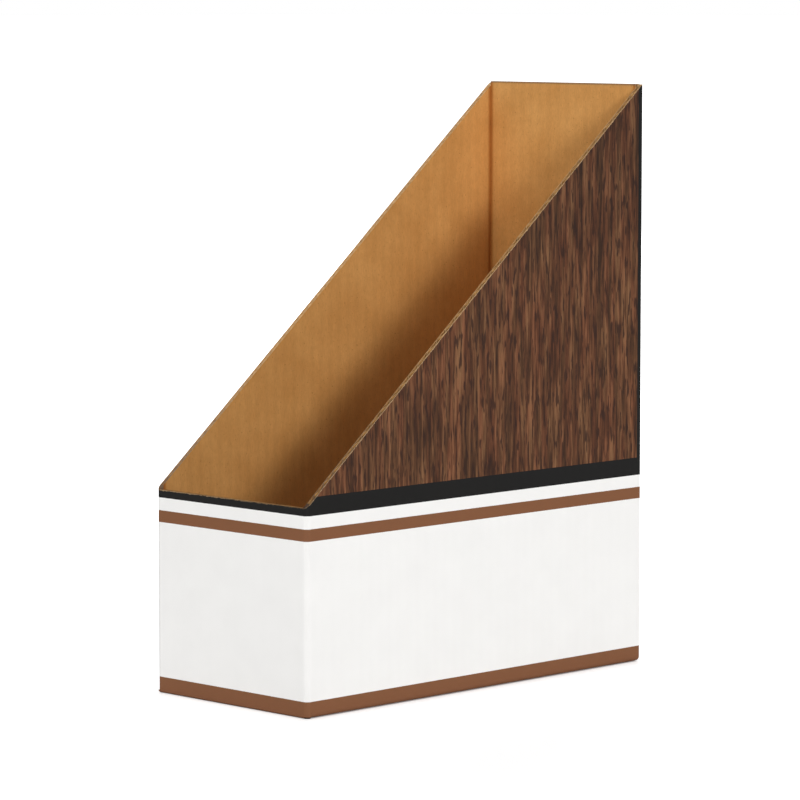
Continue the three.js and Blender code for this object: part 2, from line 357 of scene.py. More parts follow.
ridge = flute_ridges(tree, add(tree, "ShaderNodeMath", {0: axes["X"], 1: axes["Y"]}))
ridge_tone = add(tree, "ShaderNodeMapRange", {0: ridge, 1: -1.0, 2: 1.0, 3: 0.975, 4: 1.02})
with_ridges = add(tree, "ShaderNodeMix", {0: 1.0, 6: top_edge_shaded, 7: ridge_tone}, **TINT)
washboard = add(tree, "ShaderNodeBump", {"Height": ridge, "Strength": 0.35, "Distance": 0.06 * MM})
fine = {"Height": fibres, "Strength": 0.35, "Distance": 0.2 * MM, "Normal": washboard}
tooth = add(tree, "ShaderNodeBump", fine)
feed(shader, {"Base Color": with_ridges, "Normal": tooth, "Roughness": 0.88, "Specular IOR Level": 0.3})
print("kraft liner:", len(tree.nodes), "nodes")

# %% [markdown]
# ## The printed bands
# The outer liner is white paper, printed in flat brown, black and a wood pattern with a matt varnish. The
# flat bands depend on the height alone. A colour ramp could draw them, but it is kept as a table of 256
# steps, more than a millimetre each here, so each band starts with a comparison at its real height instead.
# A little noise is added to the height first, because ink never ends in a perfect line.

# %% Print the bands
BASE_STRIPE_TOP = 8.0 * MM
UPPER_STRIPE = (85.0 * MM, 90.9 * MM)
BLACK_BAND = (97.2 * MM, 106.2 * MM)
INK_SPREAD = 0.12 * MM
PRINT_BROWN, PRINT_BLACK, PAPER_WHITE = "#805438", "#100f0e", "#f5f4f2"

printed_liner, tree, shader, where = paper_material("offset_printed_white_top_liner")
axes = add(tree, "ShaderNodeSeparateXYZ", {0: where}).outputs
ink_edge = add(tree, "ShaderNodeTexNoise", {"Vector": where, "Scale": 1400.0, "Detail": 2.0})
spread = add(tree, "ShaderNodeMapRange", {0: ink_edge, 1: 0.0, 2: 1.0, 3: -INK_SPREAD, 4: INK_SPREAD})
height = add(tree, "ShaderNodeMath", {0: axes["Z"], 1: spread})
bands = [
    (BASE_STRIPE_TOP, PAPER_WHITE),
    (UPPER_STRIPE[0], PRINT_BROWN),
    (UPPER_STRIPE[1], PAPER_WHITE),
    (BLACK_BAND[0], PRINT_BLACK),
]
band_colour = paint(PRINT_BROWN)
for start, colour in bands:
    reached = add(tree, "ShaderNodeMath", {0: height, 1: start}, operation="GREATER_THAN")
    band_colour = add(tree, "ShaderNodeMix", {0: reached, 6: band_colour, 7: paint(colour)}, **MIX)
print("bands start at", [0.0, *(round(start / MM, 1) for start, _ in bands)], "mm")

# %% [markdown]
# ## The wood pattern
# The wood is streaks: noise drawn much longer up the wall than across it. A Wave texture could draw grain
# too, but its lines are too even for this print. Broad bands of tone and narrower streaks are mixed into
# one brown, dark pores under a millimetre wide lie on top, and the hue drifts between red and olive.

# %% Print the wood
# For each layer: how many streaks a metre holds across and up, and the noise's own settings.
wood_layers = {
    "broad": (125.0, 9.0, {"Detail": 3.0, "Distortion": 0.6}),
    "narrow": (430.0, 34.0, {"Detail": 4.0, "Roughness": 0.6}),
    "pores": (620.0, 95.0, {"Detail": 2.0}),
}
around = add(tree, "ShaderNodeMath", {0: axes["X"], 1: axes["Y"]})
sheet = add(tree, "ShaderNodeCombineXYZ", {"X": around, "Z": axes["Z"]})
noise = {}
for layer, (across, up, look) in wood_layers.items():
    stretched = add(tree, "ShaderNodeMapping", {"Vector": sheet, "Scale": (across, 1.0, up)})
    noise[layer] = add(tree, "ShaderNodeTexNoise", {"Vector": stretched, "Scale": 1.0, **look})
streaks = add(tree, "ShaderNodeMix", {0: 0.3, 2: noise["narrow"], 3: noise["broad"]})
wood = add(tree, "ShaderNodeValToRGB", {0: streaks})
dark, light = wood.color_ramp.elements
dark.position, dark.color = 0.39, paint("#362115")
light.position, light.color = 0.62, paint("#845d43")
wood.color_ramp.elements.new(0.5).color = paint("#5b3b28")

moved = {"Vector": sheet, "Location": (7.0, 0.0, 3.0), "Scale": (210.0, 1.0, 20.0)}
drift = add(tree, "ShaderNodeMapping", moved)
drift_noise = add(tree, "ShaderNodeTexNoise", {"Vector": drift, "Scale": 1.0, "Detail": 2.0})
hue = add(tree, "ShaderNodeValToRGB", {0: drift_noise})
red, olive = hue.color_ramp.elements
red.position, red.color = 0.4, paint("#ffebde")
olive.position, olive.color = 0.6, paint("#f9f9e9")
tinted = add(tree, "ShaderNodeMix", {0: 1.0, 6: wood, 7: hue}, **TINT)
pore_mask = add(tree, "ShaderNodeMapRange", {0: noise["pores"], 1: 0.54, 2: 0.61, 3: 0.0, 4: 0.85})
with_pores = add(tree, "ShaderNodeMix", {0: pore_mask, 6: tinted, 7: paint("#2e1a12")}, **MIX)
print("layers of the wood:", ", ".join(noise))

# %% [markdown]
# ## The black rule
# A thin black rule ends the wood at the rear edge of the right side, beside the glued corner. It is drawn
# by comparisons, as the bands are, and so is the line where the wood begins above the black band.

# %% Rule the rear edge and join the print
REAR_RULE, HAIR = 2.6 * MM, 0.1 * MM
ruled = add(tree, "ShaderNodeMath", {0: axes["Y"], 1: rear - REAR_RULE}, operation="GREATER_THAN")
on_side = add(tree, "ShaderNodeMath", {0: axes["X"], 1: right_inside + HAIR}, operation="GREATER_THAN")
rule_mask = add(tree, "ShaderNodeMath", {0: ruled, 1: on_side}, operation="MULTIPLY")
with_rule = add(tree, "ShaderNodeMix", {0: rule_mask, 6: with_pores, 7: paint(PRINT_BLACK)}, **MIX)
above = add(tree, "ShaderNodeMath", {0: height, 1: BLACK_BAND[1]}, operation="GREATER_THAN")
print_colour = add(tree, "ShaderNodeMix", {0: above, 6: band_colour, 7: with_rule}, **MIX)
print("bands and wood:", len(tree.nodes), "nodes")

# %% [markdown]
# ## Shades in the print
# The white is never quite even. Round a crease the print is painted a shade darker, as painted shade that
# takes down the extra light the round catches between the key and the fill lamp. The glued corner has no
# crease and gets none. The print is a shade darker in its upper part. Each of these is a factor close to
# one, and their product is laid over the colours.

# %% Shade the print
CREASE_SHADE, UPPER_TONE = 0.88, 0.8
DARKER_FROM, DARKER_TO = 200.0 * MM, 235.0 * MM
clouds = add(tree, "ShaderNodeTexNoise", {"Vector": where, "Scale": 60.0, "Detail": 5.0})
cloud_tone = add(tree, "ShaderNodeMapRange", {0: clouds, 1: 0.3, 2: 0.7, 3: 0.975, 4: 1.0})
smaller = add(tree, "ShaderNodeMath", {0: axes["X"], 1: axes["Y"]}, operation="MINIMUM")
has_crease = add(tree, "ShaderNodeMath", {0: smaller, 1: 0.0}, operation="LESS_THAN")
# Painted shade round a crease, against the extra light that the round catches between the lamps.
crease_shade_depth = add(tree, "ShaderNodeMath", {0: into_corner(tree, axes), 1: has_crease}, operation="MULTIPLY")
crease_shading = {0: crease_shade_depth, 1: 0.0, 2: 0.6 * BOARD, 3: 1.0, 4: CREASE_SHADE}
crease_shade_tone = add(tree, "ShaderNodeMapRange", crease_shading, **SOFT)
rising = {0: axes["Z"], 1: DARKER_FROM, 2: DARKER_TO, 3: 1.0, 4: UPPER_TONE}
upper_tone = add(tree, "ShaderNodeMapRange", rising, **SOFT)
shade = add(tree, "ShaderNodeMath", {0: upper_tone, 1: crease_shade_tone}, operation="MULTIPLY")
paper_tone = add(tree, "ShaderNodeMath", {0: cloud_tone, 1: shade}, operation="MULTIPLY")
with_clouds = add(tree, "ShaderNodeMix", {0: 1.0, 6: print_colour, 7: paper_tone}, **TINT)
print(f"the print darkens from {DARKER_FROM / MM:.0f} to {DARKER_TO / MM:.0f} mm")

# %% [markdown]
# ## Worn ink
# The ink is rubbed off in specks along the sloping cut edge, and on the front mostly at its left end. The
# specks are the peaks of a noise, and more of them pass the limit the nearer a place is to the cut. The
# finished print gets the flutes' washboard and the grain of paper as two bumps.

# %% Wear the ink and finish the print
RUBBED_DEPTH = 1.1 * MM
cut_line = {0: axes["Y"], 1: slope, 2: front_height - slope * front}
line_height = add(tree, "ShaderNodeMath", cut_line, operation="MULTIPLY_ADD")
depth = add(tree, "ShaderNodeMath", {0: line_height, 1: axes["Z"]}, operation="SUBTRACT")
near_edge = add(tree, "ShaderNodeMapRange", {0: depth, 1: 0.0, 2: RUBBED_DEPTH, 3: 0.62, 4: 0.0})
rubbed_look = {"Vector": where, "Scale": 800.0, "Detail": 4.0, "Roughness": 0.7}
rubbed = add(tree, "ShaderNodeTexNoise", rubbed_look)
chance = add(tree, "ShaderNodeMath", {0: rubbed, 1: near_edge})
front_rubbing = add(tree, "ShaderNodeMapRange", {0: axes["X"], 1: left, 2: right, 3: 0.7, 4: 0.1})
to_side = {0: axes["Y"], 1: front, 2: front_inside, 3: front_rubbing, 4: 0.8}
rubbing = add(tree, "ShaderNodeMapRange", to_side)
worn = add(tree, "ShaderNodeMapRange", {0: chance, 1: 0.95, 2: 1.02, 3: 0.0, 4: rubbing})
with_wear = add(tree, "ShaderNodeMix", {0: worn, 6: with_clouds, 7: paint("#c9a67c")}, **MIX)

ridge = flute_ridges(tree, around)
washboard = add(tree, "ShaderNodeBump", {"Height": ridge, "Strength": 0.3, "Distance": 0.05 * MM})
grain = add(tree, "ShaderNodeTexNoise", {"Vector": where, "Scale": 1800.0, "Detail": 3.0})
fine = {"Height": grain, "Strength": 0.15, "Distance": 0.1 * MM, "Normal": washboard}
tooth = add(tree, "ShaderNodeBump", fine)
varnish = {"Roughness": 0.7, "IOR": 1.47, "Specular IOR Level": 0.22}
feed(shader, {"Base Color": with_wear, "Normal": tooth, **varnish})
print("printed liner:", len(tree.nodes), "nodes")

# %% [markdown]
# ## The unprinted underside
# The base and the flaps are cut from the same sheet, and their outer face is the same white paper with no
# print. It stands on shelves, so it has grey rubs. The rubs are broad noise, cut off so that only its
# peaks show, and they run longer in the direction in which the holder is pulled out.

# %% Make the bare white liner
bare_liner, tree, shader, where = paper_material("bare_white_top_liner")
pulled = add(tree, "ShaderNodeMapping", {"Vector": where, "Scale": (120.0, 28.0, 120.0)})
rub_look = {"Vector": pulled, "Scale": 1.0, "Detail": 5.0, "Roughness": 0.7}
rubs = add(tree, "ShaderNodeTexNoise", rub_look)
rub_mask = add(tree, "ShaderNodeMapRange", {0: rubs, 1: 0.56, 2: 0.72, 3: 0.0, 4: 0.5})
scuffed = add(tree, "ShaderNodeMix", {0: rub_mask, 6: paint("#eeece8"), 7: paint("#b9b2a6")}, **MIX)
grain = add(tree, "ShaderNodeTexNoise", {"Vector": where, "Scale": 1500.0, "Detail": 3.0})
tooth = add(tree, "ShaderNodeBump", {"Height": grain, "Strength": 0.2, "Distance": 0.1 * MM})
feed(shader, {"Base Color": scuffed, "Normal": tooth, "Roughness": 0.8})
print("bare liner:", len(tree.nodes), "nodes")

# %% [markdown]
# ## How a liner is made
# A liner is a thin sheet. A plane with a Solidify modifier could make it, but here every face has to know
# which paper it shows. So a panel is drawn in its section, across the flutes, as a line for each liner,
# and then drawn out along the flutes. Faces are numbered 0 outside, 1 inside, 2 fluting and 3 cut paper.

# %% Write the helpers for liners
OUTSIDE, INSIDE, FLUTING, CUT = range(4)

# Where a section point (a, b) and a distance c along the flutes lie, for flutes along each axis.
ALONG = {
    "x": lambda a, b, c: Vector((c, a, b)),
    "y": lambda a, b, c: Vector((a, c, b)),
    "z": lambda a, b, c: Vector((a, b, c)),
}


def prism(mesh, axis, loop, low, high, papers):
    """Draws a closed section out along the flutes. papers gives the paper of each side face."""
    rings = [[mesh.verts.new(ALONG[axis](a, b, c)) for a, b in loop] for c in (low, high)]
    for i, paper in enumerate(papers):
        j = (i + 1) % len(loop)
        mesh.faces.new((rings[0][i], rings[0][j], rings[1][j], rings[1][i])).material_index = paper
    for ring in rings:
        mesh.faces.new(ring).material_index = CUT


def liner(mesh, axis, line, inward, low, high, paper):
    """A liner: a line in the section, given LINER of thickness to the side that inward points to."""
    points = [Vector(p) for p in line]
    steps = [(b - a).normalized() for a, b in zip(points, points[1:])]
    back = []
    for i, point in enumerate(points):
        before, after = steps[max(i - 1, 0)], steps[min(i, len(steps) - 1)]
        normal = Vector((-(before + after).y, (before + after).x)).normalized()
        back.append(point + normal * inward * LINER / max(0.5, normal.dot(Vector((-after.y, after.x)))))
    loop = [*points, *reversed(back)]
    count = len(points) - 1
    papers = [paper] * count + [CUT] + [FLUTING] * count + [CUT]
    prism(mesh, axis, loop, low, high, papers)


print("a liner is", round(LINER / BOARD, 2), "of the board's thickness")

# %% [markdown]
# ## Bends and crushed board
# Where a liner bends round a corner, its line runs in an arc. The board inside the bend is crushed. Torn
# folds could be modelled there, but only its ends ever show, so a solid core is enough.

# %% Write the helpers for bends
ARC_STEP = 6


def arc(centre, radius, start, end, steps=None):
    """Points of an arc in the section, with angles in degrees."""
    steps = steps or max(2, round(abs(end - start) / ARC_STEP))
    angles = [math.radians(start + (end - start) * i / steps) for i in range(steps + 1)]
    return [(centre[0] + radius * math.cos(t), centre[1] + radius * math.sin(t)) for t in angles]


def crushed_core(mesh, axis, centre, start, end, low, high):
    """The crushed board inside a crease, behind the printed skin."""
    loop = [centre, *arc(centre, BOARD - LINER, start, end)]
    prism(mesh, axis, loop, low, high, [CUT] * len(loop))


print("a quarter round has", len(arc((0, 0), BOARD, 0, 90)), "points")

# %% [markdown]
# ## How the fluting gets into a panel
# A modifier with the node tree could stay on each panel, but the cuts that follow need a plain mesh. So
# the tree runs on an empty object, and the result is taken out at once and laid between the liners. Its
# crests sink a quarter of a liner into each of the two, where they are glued.

# %% Write the helper for the fluting
WAVE_HEIGHT = BOARD - 1.5 * LINER
CRUSHED_END = 4 * MM


def fluting(mesh, start, path, flutes, length, height, wave_height=WAVE_HEIGHT):
    """Adds the wavy paper of a panel, made by the node tree and set in its place."""
    holder = bpy.data.objects.new("fluting", bpy.data.meshes.new("fluting"))
    bpy.context.scene.collection.objects.link(holder)
    modifier = holder.modifiers.new("fluting", "NODES")
    modifier.node_group = fluting_tree
    values = {"Length": length, "Height": height, "Wave Height": wave_height, "Pitch": FLUTE_PITCH}
    values |= {"Paper": PAPER, "Crushed End": CRUSHED_END, "Material": fluting_paper}
    for item in fluting_tree.interface.items_tree:
        if item.in_out == "INPUT":
            modifier[item.identifier] = values[item.name]
    holder.data.update()
    shaped = holder.evaluated_get(bpy.context.evaluated_depsgraph_get())
    made = bpy.data.meshes.new_from_object(shaped)
    path, flutes = Vector(path), Vector(flutes)
    turn = Matrix((path, flutes, path.cross(flutes))).transposed().to_4x4()
    centre = Vector(start) + path * length / 2 + flutes * height / 2
    made.transform(Matrix.Translation(centre) @ turn @ Matrix.Translation((0, 0, -PAPER / 2)))
    for polygon in made.polygons:
        polygon.material_index = FLUTING
    mesh.from_mesh(made)
    bpy.data.objects.remove(holder)
    bpy.data.meshes.remove(made)


print(f"waves: {FLUTE_PITCH / MM:.1f} mm long and {WAVE_HEIGHT / MM:.2f} mm high")

# %% [markdown]
# ## How a panel is cut
# A panel's outline is cut with planes, as the cutting rules do on the real sheet, so the liners and the
# fluting end in one clean cut. In the hollows of the sloping cut some torn fluting is left.

# %% Write the helpers for cuts
slope_plane = ((0, front, front_height), (0, -slope, 1))


def cut_off(mesh, planes):
    """Cuts away what lies in front of each plane, a point and a direction, and closes the cut."""
    for point, direction in planes:
        away = Vector(direction).normalized()
        everything = [*mesh.verts, *mesh.edges, *mesh.faces]
        bmesh.ops.bisect_plane(mesh, geom=everything, plane_co=point, plane_no=away, clear_outer=True)
        rim = [edge for edge in mesh.edges if edge.is_boundary]
        for new_face in bmesh.ops.holes_fill(mesh, edges=rim, sides=0)["faces"]:
            new_face.material_index = CUT


def crushed_rim(mesh, inner_x, outer_x, from_y, to_y, depth):
    """The torn fluting that fills the hollows of a side's sloping cut, at a depth below the cut."""
    low, high = (front_height - depth + slope * (y - front) for y in (from_y, to_y))
    loop = [(from_y, low - LINER), (to_y, high - LINER), (to_y, high), (from_y, low)]
    x_low, x_high = sorted((inner_x, outer_x))
    prism(mesh, "x", loop, x_low + 0.5 * LINER, x_high - 0.5 * LINER, [CUT] * 4)


print(f"the sloping cut rises at {math.degrees(math.atan(slope)):.1f} degrees")

# %% [markdown]
# ## How a panel is finished
# The drawn mesh becomes an object with its four papers. It keeps its standing place in an attribute, and
# it stands in for its CAD node. Smooth shading up to an angle keeps the waves soft and the cuts sharp.

# %% Write the helpers that finish a panel
SHARP = math.radians(35)


def finish_panel(name, mesh, outside):
    """Turns the drawn panel into an object with its four papers and its place on the holder."""
    bmesh.ops.recalc_face_normals(mesh, faces=mesh.faces)
    data = bpy.data.meshes.new(name)
    mesh.to_mesh(data)
    mesh.free()
    for paper in (outside, kraft_liner, fluting_paper, cut_paper):
        data.materials.append(paper)
    places = [number for vertex in data.vertices for number in vertex.co]
    data.attributes.new(SHEET_PLACE, "FLOAT_VECTOR", "POINT").data.foreach_set("vector", places)
    data.shade_smooth()
    data.set_sharp_from_angle(angle=SHARP)
    panel = bpy.data.objects.new(name, data)
    bpy.context.scene.collection.objects.link(panel)
    print(f"{name}: {len(data.polygons)} faces")
    return panel


def stand_in_for(panel, node, body):
    """The panel takes the place of its CAD node and moves with that node's body."""
    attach(panel, body)
    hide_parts(node)


print(f"edges sharper than {math.degrees(SHARP):.0f} degrees stay sharp")

# %% [markdown]
# ## The right side
# The sides are the holder's largest surfaces. Their flutes stand upright, for strength when the holder is
# full, so the sloping top cuts across them. The right side's lower edge is a crease, so its board starts
# one thickness above the floor and the rest of the crease is a skin of its own. Its rear edge is cut along
# a flute, and the torn fluting fills the slit between the two liners there.

# %% Build the right side
TORN_EDGE, TORN_END, RIGHT_HOLLOWS = 1.0 * MM, 0.3 * MM, 1.3 * MM
side_length = rear - front - BOARD
mesh = bmesh.new()
outer_line = [(right, rear), (right, front_inside + SEAM)]
liner(mesh, "z", outer_line, -1, BOARD + SEAM, back_height, OUTSIDE)
liner(mesh, "z", [(right_inside, rear), (right_inside, front_inside)], 1, BOARD, back_height, INSIDE)
start = ((right + right_inside) / 2, front_inside, BOARD)
fluting(mesh, start, (0, 1, 0), (0, 0, 1), side_length, back_height - BOARD)
crushed_core(mesh, "z", (right_inside, front_inside), -90, 0, 0, back_height)
crushed_core(mesh, "y", (right_inside, BOARD), -45, 0, front_inside, rear)
slit, torn_from, torn_to = (right_inside + LINER, right - LINER), rear - TORN_EDGE, rear - TORN_END
torn = [(slit[0], torn_from), (slit[1], torn_from), (slit[1], torn_to), (slit[0], torn_to)]
prism(mesh, "z", torn, 2 * BOARD, back_height, [CUT] * 4)
crushed_rim(mesh, right_inside, right, front_inside, rear - TORN_EDGE, RIGHT_HOLLOWS)
cut_off(mesh, [slope_plane])
right_board = finish_panel("right_side_board", mesh, printed_liner)
stand_in_for(right_board, "right_side_wall", "right_side")

# %% [markdown]
# ## The left side
# The left side is the right side's twin, but it stands on its raw cut edge. Its printed liner goes half
# way round the front corner, to the line where the sleeve is left open and meets the front's half.

# %% Build the left side
LEFT_HOLLOWS = 0.4 * MM
mesh = bmesh.new()
outer_line = [(left, rear_inside - SEAM), *arc((left_inside, front_inside), BOARD, 180, 225)]
liner(mesh, "z", outer_line, 1, 0, back_height, OUTSIDE)
liner(mesh, "z", [(left_inside, rear_inside), (left_inside, front_inside)], -1, 0, back_height, INSIDE)
start = ((left + left_inside) / 2, front_inside, 0)
fluting(mesh, start, (0, 1, 0), (0, 0, 1), side_length - BOARD, back_height)
crushed_core(mesh, "z", (left_inside, rear_inside), 90, 180, 0, back_height)
crushed_core(mesh, "z", (left_inside, front_inside), 180, 225, 0, back_height)
crushed_rim(mesh, left_inside, left, front_inside, rear_inside, LEFT_HOLLOWS)
cut_off(mesh, [slope_plane])
left_board = finish_panel("left_side_board", mesh, printed_liner)
stand_in_for(left_board, "left_side_wall", "left_side")

# %% [markdown]
# ## The front and the back
# These two walls are creased to the dust flaps that lie on the base. On the real holder the crease is
# pressed down to the floor and the print runs all the way down. In the CAD model the boards are stiff, so
# the crease is one board higher, and here the printed skin covers that step: it runs on down and turns
# in under the wall in a small bead.

# %% Build the front and the back
BEAD, BUTT_GAP = 1.2 * MM, 0.02 * MM


def end_wall(name, outside, inside, outer_line, from_x, to_x, top, core_angles):
    """A wall with upright flutes and a rolled lower edge. outer_line is its printed face in the plan."""
    facing = math.copysign(1, inside - outside)
    panel = bmesh.new()
    liner(panel, "z", outer_line, facing, BEAD, top, OUTSIDE)
    liner(panel, "z", [(from_x, inside), (to_x, inside)], -facing, 2 * BOARD, top, INSIDE)
    start = (from_x if facing > 0 else to_x, (outside + inside) / 2, 2 * BOARD)
    fluting(panel, start, (facing, 0, 0), (0, 0, 1), to_x - from_x, top - 2 * BOARD)
    crushed_core(panel, "x", (inside, 2 * BOARD), *core_angles, from_x, to_x)
    turn = (180, 270) if facing > 0 else (0, -90)
    bead = [*arc((outside + facing * BEAD, BEAD), BEAD, *turn), (inside, 0.0)]
    liner(panel, "x", bead, facing, outer_line[0][0] if facing > 0 else from_x, to_x, OUTSIDE)
    return finish_panel(name, panel, printed_liner)


corner = arc((left_inside, front_inside), BOARD, 225, 270)
front_line = [*corner, (right_inside - SEAM, front)]
back_line = [(left_inside + SEAM, rear), (right_inside - BUTT_GAP, rear)]
span = (left_inside, right_inside)
front_board = end_wall("front_board", front, front_inside, front_line, *span, front_height, (180, 225))
stand_in_for(front_board, "front_wall", "front")
back_board = end_wall("back_board", rear, rear_inside, back_line, *span, back_height, (0, -45))
stand_in_for(back_board, "back_wall", "back")

# %% [markdown]
# ## The glued corner
# The sleeve is closed by a tab, glued inside the right side at the back. The tab's board is pressed
# nearly flat, so that the inside has no step. It is the same three papers with a lower wave, and its ends
# are cut at an angle, which keeps them from catching on sheets of paper.

# %% Build the glue tab
TAB_TAPER = 9 * MM
tab_low, tab_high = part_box("glue_tab")
tab_length, tab_rise = rear_inside - tab_low.y, tab_high.z - tab_low.z
tab_wave = tab_high.x - tab_low.x - 1.6 * LINER
mesh = bmesh.new()
liner(mesh, "z", [(tab_low.x, rear_inside), (tab_low.x, tab_low.y)], 1, tab_low.z, tab_high.z, INSIDE)
outer_line = [(tab_high.x, rear_inside), (tab_high.x, tab_low.y)]
liner(mesh, "z", outer_line, -1, tab_low.z, tab_high.z, OUTSIDE)
start = ((tab_low.x + tab_high.x) / 2, tab_low.y, tab_low.z)
fluting(mesh, start, (0, 1, 0), (0, 0, 1), tab_length, tab_rise, tab_wave)
top_cut, foot_cut = (0, -2 * TAB_TAPER, tab_length), (0, -TAB_TAPER, -tab_length)
cut_off(mesh, [((0, rear_inside, tab_high.z), top_cut), ((0, rear_inside, tab_low.z), foot_cut)])
tab_board = finish_panel("glue_tab_board", mesh, bare_liner)
stand_in_for(tab_board, "glue_tab", "right_side")

# %% [markdown]
# ## The base
# On the flat sheet all flutes run the same way, up the walls. Folded up, that makes the base's flutes run
# across the holder. The base has a solid shoulder on each side of the tuck flap, where the board goes on
# to the left side.

# %% Build the base panel
SLIT = 0.3 * MM
tuck_low, tuck_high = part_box("tuck_flap")
tuck_outside, tuck_inside = tuck_low.x, tuck_low.x + BOARD
shoulder_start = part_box("base_panel")[0].x
mesh = bmesh.new()
for level, inward, paper, gap in ((0.0, 1, OUTSIDE, SEAM), (BOARD, -1, INSIDE, 0.0)):
    line = [(front_inside, level), (rear_inside, level)]
    liner(mesh, "x", line, inward, tuck_inside + gap, right_inside - gap, paper)
base_width, base_length = right_inside - tuck_inside, rear_inside - front_inside
fluting(mesh, (tuck_inside, rear_inside, BOARD / 2), (0, -1, 0), (1, 0, 0), base_length, base_width)
crushed_core(mesh, "y", (right_inside, BOARD), -90, -45, front_inside, rear_inside)
crushed_core(mesh, "y", (tuck_inside, BOARD), 225, 270, front_inside, rear_inside)
for from_y, to_y in ((front_inside, tuck_low.y - SLIT), (tuck_high.y + SLIT, rear_inside)):
    loop = [(from_y, 0.0), (to_y, 0.0), (to_y, BOARD), (from_y, BOARD)]
    prism(mesh, "x", loop, shoulder_start, tuck_inside, [OUTSIDE, CUT, INSIDE, CUT])
base_board = finish_panel("base_board", mesh, bare_liner)
stand_in_for(base_board, "base_panel", "base")

# %% [markdown]
# ## The tuck flap
# The tuck flap stands inside the left side, with its flutes upright, and shows them open along its top.
# Its ends taper, so that it slips in without catching on the dust flaps.

# %% Build the tuck flap
TUCK_FRONT_TAPER, TUCK_REAR_TAPER = 19 * MM, 9 * MM
tuck_rise, tuck_length = tuck_high.z - BOARD, tuck_high.y - tuck_low.y
mesh = bmesh.new()
for x, inward, paper, gap in ((tuck_outside, 1, OUTSIDE, SEAM), (tuck_inside, -1, INSIDE, 0.0)):
    line = [(x, tuck_high.y), (x, tuck_low.y)]
    liner(mesh, "z", line, inward, BOARD + gap, tuck_high.z, paper)
start = ((tuck_outside + tuck_inside) / 2, tuck_low.y, BOARD)
fluting(mesh, start, (0, 1, 0), (0, 0, 1), tuck_length, tuck_rise)
crushed_core(mesh, "y", (tuck_inside, BOARD), 180, 225, tuck_low.y, tuck_high.y)
front_cut, rear_cut = (0, -tuck_rise, TUCK_FRONT_TAPER), (0, tuck_rise, TUCK_REAR_TAPER)
cut_off(mesh, [((0, tuck_low.y, BOARD), front_cut), ((0, tuck_high.y, BOARD), rear_cut)])
tuck_board = finish_panel("tuck_board", mesh, bare_liner)
stand_in_for(tuck_board, "tuck_flap", "tuck")

# %% [markdown]
# ## The dust flaps
# The two dust flaps lie on the base and close its ends. Their flutes run front to back and show open along
# the free edges. One function builds both, since they differ only in the wall they hang on and in how
# sharply their right ends taper. They start a hair away from the wall, so that they swing clear of its
# rolled foot when the holder is folded.

# %% Build the dust flaps
DUST_LENGTH, DUST_END_ROOM, DUST_FREE_TAPER = 38 * MM, 2.2 * MM, 6 * MM
FRONT_DUST_TAPER, REAR_DUST_TAPER = 2.0, 1.05


def dust_board(name, node, body, outside, inside, taper):
    """A flap that lies on the base, with flutes that run away from its crease."""
    facing = math.copysign(1, inside - outside)
    free = outside + facing * DUST_LENGTH
    low_y, high_y = sorted((inside + facing * SEAM, free))
    from_x, to_x = tuck_inside + DUST_END_ROOM, right - DUST_END_ROOM
    panel = bmesh.new()
    liner(panel, "y", [(from_x, BOARD), (to_x, BOARD)], 1, low_y, high_y, OUTSIDE)
    liner(panel, "y", [(from_x, 2 * BOARD), (to_x, 2 * BOARD)], -1, low_y, high_y, INSIDE)
    fluting(panel, (to_x, low_y, 1.5 * BOARD), (-1, 0, 0), (0, 1, 0), to_x - from_x, high_y - low_y)
    corner_x = to_x - BOARD * taper - BOARD
    end_x = to_x - DUST_LENGTH * taper
    right_cut = (abs(free - inside), facing * (corner_x - end_x), 0)
    left_cut = (BOARD - DUST_LENGTH, facing * DUST_FREE_TAPER, 0)
    cut_off(panel, [((corner_x, inside, 0), right_cut), ((from_x, inside, 0), left_cut)])
    board = finish_panel(name, panel, bare_liner)
    stand_in_for(board, node, body)


dust_board("front_dust_board", "front_dust_flap", "front_dust", front, front_inside, FRONT_DUST_TAPER)
dust_board("rear_dust_board", "rear_dust_flap", "rear_dust", rear, rear_inside, REAR_DUST_TAPER)

# %% [markdown]
# ## The creases
# At a crease only the outer liner stays whole and wraps round the corner. It belongs to both panels, so it
# is a strip of its own: a quarter round, baked into its place on the standing holder.
# The board behind it is crushed and stays with its panel. The near corner's foot is blunted by knocks, so
# its strip starts a little higher.

# %% Build the crease skins
BLUNTED_FOOT = 0.7 * MM
BEND_STEPS = 18


def crease(name, axis, centre, start, end, low, high, outside, planes=()):
    """The outer liner round a corner, from one body's panel to the other's."""
    skin = bmesh.new()
    a, b = (math.radians(t) for t in (start, end))
    sign = math.copysign(1, end - start)
    lead = Vector((math.sin(a), -math.cos(a))) * sign * SEAM
    trail = Vector((-math.sin(b), math.cos(b))) * sign * SEAM
    bend = [Vector(p) for p in arc(centre, BOARD, start, end, BEND_STEPS)]
    liner(skin, axis, [bend[0] + lead, *bend, bend[-1] + trail], sign, low, high, OUTSIDE)
    cut_off(skin, planes)
    strip = finish_panel(name, skin, outside)
    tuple(ALONG[axis](*bend[0], low))
    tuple(ALONG[axis](*bend[-1], low))
    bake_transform(strip)


crease(
    "front_right_crease", "z", (right_inside, front_inside), 0, -90, BLUNTED_FOOT, back_height,
    printed_liner, [slope_plane],
)
crease(
    "rear_left_crease", "z", (left_inside, rear_inside), 90, 180, 0, back_height,
    printed_liner, [slope_plane],
)
crease(
    "base_crease_skin", "y", (right_inside, BOARD), 0, -90, front_inside, rear,
    printed_liner,
)
crease(
    "tuck_crease_skin", "y", (tuck_inside, BOARD), 270, 180, tuck_low.y, tuck_high.y,
    bare_liner,
)

# %% [markdown]
# ## The floor
# The holder stands on a plain white floor. The floor glows for the camera alone, and more so far away, to
# blend into the white background. Nearby it glows less and takes the holder's shadow. Nothing glows under
# the holder or in its slits, where the floor sees no open room.

